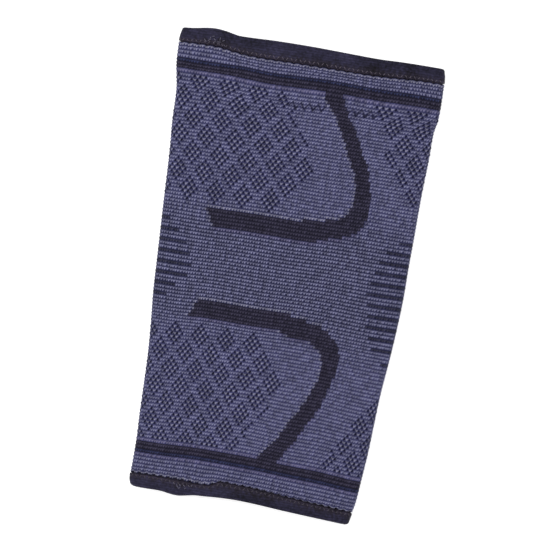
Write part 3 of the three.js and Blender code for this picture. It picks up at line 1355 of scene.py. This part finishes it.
@dataclass(frozen=True)
class TapeJoin:
    """Where the two ends of a tape are lapped and sewn, on the upper side of the sleeve.

    Attributes:
        x: Middle of the join.
        reach: How far the lapped tape bulges to each side.
        lip: How far the lip bulges outward.
        layer: First and last x of the upper layer.
        bars: Thread bars of the sewing, each from x and out to x and out.
        rise: How far the tape bulges up.
        step: Thickness that the upper layer adds.
        slope: Half the length of the slope at each end of the upper layer.
    """

    x: float
    reach: float
    lip: float
    layer: Span
    bars: Table
    rise: float = 0.8
    step: float = 0.3
    slope: float = 0.6

    def bulge(self, x: Array) -> Array:
        """Bump over the join: 1 in the middle, running out smoothly to 0 at the reach."""
        return smoothstep(np.abs(x - self.x), self.reach, 0.0)

    def layered(self, x: Array) -> Array:
        """1 where the upper layer lies, with a short slope at its two ends."""
        begun, ended = (smoothstep(x, end - self.slope, end + self.slope) for end in self.layer)
        return begun * (1 - ended)


@dataclass(frozen=True)
class Binding:
    """Elastic tape folded over one mouth, sewn with a zigzag, its ends lapped and tacked.

    Attributes:
        knit_end: Where the knit ends along the arm, in millimetres.
        width: How far the tape stands out past the knit.
        join: The lapped join.
        zigzags: Stitches of the sewing round the mouth.
        gap: Between the knit's edge and the tape's.
        wall: Thickness of the folded tape.
        border: Rounded border of the outer face, as rows of out and depth.
        crown: How far the outer face crowns, at two shares of its width.
        tongue: End of the inner face and the tongue that tucks in under the knit, as out and depth.
        upper_side: Sine of the angle round the section at which the join's bulge is full.
        layer_start: Distances out between which the upper layer of the join begins.
        sewing: Distances out between which the zigzag runs.
        sewing_sink: How deep the zigzag sinks in at its turns.
        bar_sink: How deep a tacking bar starts, and how far it arches up.
        bar_tip: Just above 1, so that a tacking bar keeps some radius at its tips.
        bar_samples: Points of the upper side among which a bar's place is found.
    """

    name: str
    node: str
    form: SleeveForm
    knit_end: float
    width: float
    join: TapeJoin
    zigzags: int
    gap: float = 0.3
    wall: float = 2.2
    border: Table = ((-0.1, 0.5), (0.0, 0.2), (0.25, 0.0))
    crown: Table = ((0.3, 0.04), (0.6, 0.04))
    tongue: Table = ((0.6, 2.2), (0.0, 1.9), (-2.2, 1.7), (-2.2, 1.15), (-0.1, 1.0))
    lip_steps: int = 12
    columns: int = 376
    upper_side: float = 0.15
    layer_start: Span = (-0.5, 0.5)
    sewing: Span = (-0.4, 2.4)
    sewing_sink: float = 1.2
    zigzag_steps: int = 12
    thread_radius: float = 0.2
    thread_floor: float = 0.02
    thread_sides: int = 6
    bar_radius: float = 0.17
    bar_sink: Span = (0.2, 0.3)
    bar_tip: float = 1.04
    bar_steps: int = 9
    bar_samples: int = 2001

    @property
    def outward(self) -> float:
        """+1 for the mouth at +Y and -1 for the one at -Y."""
        return math.copysign(1.0, self.knit_end)

    def surface(self, out: Array, turn: Array, depth: Array) -> Array:
        """Points of the tape, with the bulge and the extra layer of its join on the upper side.

        Args:
            out: Distance out from the tape's inner border.
            turn: Angle round the section.
            depth: Distance in from the outer surface.

        Returns:
            Points in millimetres.
        """
        out, turn, depth = np.broadcast_arrays(out, turn, depth)
        start = self.knit_end + self.outward * self.gap
        points = self.form.point(start + self.outward * out, turn, depth)
        x = points[..., 0]
        upper = smoothstep(np.sin(turn), 0.0, self.upper_side)
        bulge = upper * self.join.bulge(x)
        layer = upper * self.join.layered(x) * smoothstep(out, *self.layer_start)
        skin = np.clip(1 - depth / self.wall, 0.0, 1.0)
        share = np.clip(out / self.width, 0.0, 1.0)
        stray = self.form.edge_shift(x, self.outward) * (1 - share)
        lip = self.join.lip * bulge + self.form.lip_shift(x, self.outward)
        points[..., 1] += self.outward * lip * share + stray
        points[..., 2] += (self.join.rise * bulge + self.join.step * layer) * skin
        points[..., 2] = np.maximum(points[..., 2], 0.0)
        return points

    def section(self) -> Array:
        """Outline of the tape: outer face, round lip, inner face and tongue.

        Returns:
            Pairs of out and depth.
        """
        radius = self.wall / 2
        flat = self.width - radius
        angle = np.linspace(0, math.pi, self.lip_steps + 1)
        lip = np.stack([flat + radius * np.sin(angle), radius * (1 - np.cos(angle))], axis=-1)
        face = [*self.border, *((flat * share, -height) for share, height in self.crown)]
        back = [(flat / 2, self.wall), *self.tongue]
        return np.concatenate([np.array(face), lip, np.array(back)])

    def build_tape(self) -> bpy.types.Object:
        """Carries the tape's outline round the mouth.

        Returns:
            The tape, with a map of the wale and of the distance out from its inner border.
        """
        half = self.form.wales / 2
        wale = np.linspace(-half, half, self.columns + 1)
        section = self.section() if self.outward > 0 else self.section()[::-1]
        rings = self.surface(section[:, :1], self.form.turn_at(wale[None, :-1]), section[:, 1:])
        piece = ring_skin(self.name, rings)
        add_map(piece.data, TAPE_MAP, corner_values(np.append(section[:, 0], section[0, 0]), wale))
        return piece

    def build_zigzag(self) -> bpy.types.Object:
        """Runs a thread round the mouth in a zigzag between the tape and the knit's edge.

        The thread's share of the way up is 1 - |2p - 1| of its phase p, and it sinks in towards both turns.

        Returns:
            The thread.
        """
        count = self.zigzags * self.zigzag_steps
        phase = np.arange(count) / self.zigzag_steps
        up = 1 - np.abs(2 * (phase % 1) - 1)
        low, high = self.sewing
        out = low + (high - low) * up
        depth = self.sewing_sink * (2 * np.abs(up - 0.5)) ** 2
        turn = self.form.turn_at((phase / self.zigzags - 0.5) * self.form.wales)
        path = self.surface(out, turn, depth)
        normal = self.form.outward(self.knit_end + self.outward * out, turn)
        radius = np.full(count, self.thread_radius)
        rings = tube_rings(path, normal, radius, self.thread_sides, closed=True)
        rings[..., 2] = np.maximum(rings[..., 2], self.thread_floor)
        return ring_skin(self.name + "_zigzag", rings)

    def build_bars(self) -> bpy.types.Object:
        """Lays the short threads that tack the join, each arched a little and sunk at both ends.

        Over the share s of its length a bar's depth is sink - arch * sqrt(sin(pi s)), and its radius runs
        in at both tips as the square root of tip - (2s - 1)^2.

        Returns:
            The threads.
        """
        strands = []
        sink, arch = self.bar_sink
        turns = self.form.turn_at(np.linspace(-FOLD_WALE, FOLD_WALE, self.bar_samples))
        share = np.linspace(0, 1, self.bar_steps)
        radius = self.bar_radius * np.sqrt(np.clip(self.bar_tip - (2 * share - 1) ** 2, 0, 1))
        depth = sink - arch * np.sqrt(np.sin(math.pi * share))
        for x0, out0, x1, out1 in self.join.bars:
            out = out0 + (out1 - out0) * share
            across = self.form.point(self.knit_end + self.outward * (out0 + out1) / 2, turns, 0.0)[:, 0]
            turn = np.interp(x0 + (x1 - x0) * share, across, turns)
            path = self.surface(out, turn, depth)
            normal = self.form.outward(self.knit_end + self.outward * out, turn)
            strands.append(tube_rings(path, normal, radius, self.thread_sides, closed=False))
        return tufts(self.name + "_tacking", strands)

    def build(
        self, tape: bpy.types.Material, sewing: bpy.types.Material, tacking: bpy.types.Material
    ) -> list[bpy.types.Object]:
        """Builds the tape, its zigzag and its tacking, and dresses them.

        Args:
            tape: Material of the tape.
            sewing: Material of the zigzag thread.
            tacking: Material of the tacking threads.

        Returns:
            The three pieces.
        """
        pieces = [self.build_tape(), self.build_zigzag(), self.build_bars()]
        for piece, material, node in zip(pieces, (tape, sewing, tacking), (self.node, None, None)):
            tie(piece, material, node)
        return pieces


UPPER_JOIN = TapeJoin(
    x=-49.5,
    reach=14.0,
    lip=1.5,
    layer=(-56.5, -43.5),
    bars=(
        (-54.0, 2.6, -52.5, 0.9), (-51.9, 1.4, -50.6, 2.6), (-51.0, 2.1, -50.7, 3.8),
        (-50.2, 3.9, -48.9, 4.3), (-49.4, 3.3, -48.0, 2.1), (-49.2, 0.9, -48.0, 1.9),
        (-47.6, 1.7, -45.3, 2.1), (-46.0, 4.5, -46.1, 2.4), (-46.2, 1.6, -46.1, 0.5),
        (-45.0, 2.5, -43.7, 3.5), (-44.1, 1.4, -43.1, 0.6),
    ),
)
LOWER_JOIN = TapeJoin(
    x=-31.5,
    reach=10.0,
    lip=1.2,
    layer=(-36.5, -24.5),
    bars=(
        (-34.2, 0.9, -33.2, 1.8), (-32.4, 1.4, -31.4, 3.2), (-31.5, 3.3, -30.2, 2.8),
        (-30.9, 1.2, -30.3, 2.3), (-29.2, 1.2, -27.9, 2.4), (-28.4, 3.4, -27.4, 2.6),
        (-26.6, 1.0, -25.8, 2.2), (-24.6, 0.8, -25.2, 1.8),
    ),
)


# Studio


@dataclass(frozen=True)
class Studio:
    """Pale floor, soft light and a camera straight above, turned as in the photograph.

    Attributes:
        tilt: Turn of the picture round the line of sight, in degrees.
        aim: Point of the sleeve's frame in the middle of the picture, in millimetres.
        span: Width that the picture takes in, in millimetres.
        span_height: Height above the floor at which it does.
        lens: Focal length, in millimetres on a sensor of the given width.
        floor_half: Half the floor's width, in metres.
        floor_glow: Light that the floor gives off, which washes the shadow out.
        sky: Strength of the even light from all round.
        key_size: Width of the lamp, in metres, as is its place.
    """

    tilt: float = 9.2
    aim: Span = (-1.19, 0.39)
    span: float = 269.5
    span_height: float = 3.0
    lens: float = 400.0
    sensor: float = 36.0
    white: Colour = (1.0, 1.0, 1.0)
    floor_half: float = 4.0
    floor_colour: Colour = (0.95, 0.95, 0.95)
    floor_glow: float = 0.4
    sky: float = 0.9
    key_watts: float = 7.0
    key_size: float = 1.0
    key_place: tuple[float, float, float] = (-0.3, 0.2, 1.1)

    def build_floor(self) -> None:
        """Lays a plain pale floor under the sleeve."""
        reach = self.floor_half
        mesh = bpy.data.meshes.new("floor")
        corners = [(-reach, -reach, 0), (reach, -reach, 0), (reach, reach, 0), (-reach, reach, 0)]
        mesh.from_pydata(corners, [], [(0, 1, 2, 3)])
        material, sketch, shader = new_material("pale_floor")
        sketch.feed(
            shader,
            {
                "Base Color": self.floor_colour,
                "Roughness": 0.9,
                "Specular IOR Level": 0.1,
                "Emission Color": self.white,
                "Emission Strength": self.floor_glow,
            },
        )
        mesh.materials.append(material)
        placed(mesh)

    def build_lights(self) -> None:
        """Hangs one large soft light above the sleeve in an even pale room."""
        world = bpy.data.worlds.new("studio")
        world.use_nodes = True
        background = world.node_tree.nodes["Background"]
        NodeSketch(world.node_tree).feed(background, {"Color": self.white, "Strength": self.sky})
        bpy.context.scene.world = world
        data = bpy.data.lights.new("key", "AREA")
        data.energy = self.key_watts
        data.size = self.key_size
        lamp = bpy.data.objects.new("key", data)
        lamp.location = self.key_place
        x, y, z = self.key_place
        lamp.rotation_euler = (math.atan2(math.hypot(x, y), z), 0.0, math.atan2(y, x) + math.pi / 2)
        bpy.context.scene.collection.objects.link(lamp)

    def build_camera(self) -> None:
        """Sets the camera straight above, at the height from which the lens takes in the span."""
        data = bpy.data.cameras.new("camera")
        data.lens = self.lens
        data.sensor_width = self.sensor
        camera = bpy.data.objects.new("camera", data)
        height = self.span_height + self.span * self.lens / self.sensor
        camera.location = (self.aim[0] * MM, self.aim[1] * MM, height * MM)
        camera.rotation_euler = (0.0, 0.0, math.radians(self.tilt))
        bpy.context.scene.collection.objects.link(camera)
        bpy.context.scene.camera = camera
        bpy.context.scene.view_settings.view_transform = "Standard"


def main() -> None:
    """Builds the studio, the sleeve and its two bindings."""
    logging.basicConfig(level=logging.INFO, format="%(name)s %(message)s")
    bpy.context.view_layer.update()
    studio = Studio()
    studio.build_floor()
    studio.build_lights()
    studio.build_camera()

    fibre = fibre_group()
    form = SleeveForm()
    sleeve = KnitSleeve(form, StitchChart(), KnitFinish())
    knit = sleeve.build()
    sleeve.dress(knit, fibre)

    tape = TapeFinish().material(fibre)
    grey = ThreadFinish("grey_thread", linear(86, 77, 90), linear(45, 40, 51)).material(fibre)
    dark = ThreadFinish("dark_thread", linear(60, 53, 64), linear(34, 30, 42)).material(fibre)
    pale = ThreadFinish("pale_thread", linear(100, 96, 114), linear(58, 56, 72)).material(fibre)
    upper = Binding(
        "upper_tape", "upper_binding", form, KNIT_UPPER_END, width=8.1, join=UPPER_JOIN, zigzags=62
    )
    lower = Binding(
        "lower_tape", "lower_binding", form, KNIT_LOWER_END, width=6.5, join=LOWER_JOIN, zigzags=53
    )
    trims = upper.build(tape, grey, pale) + lower.build(tape, dark, pale)
    for piece in (knit, *trims):
        report(piece)


if __name__ == "__main__":
    main()
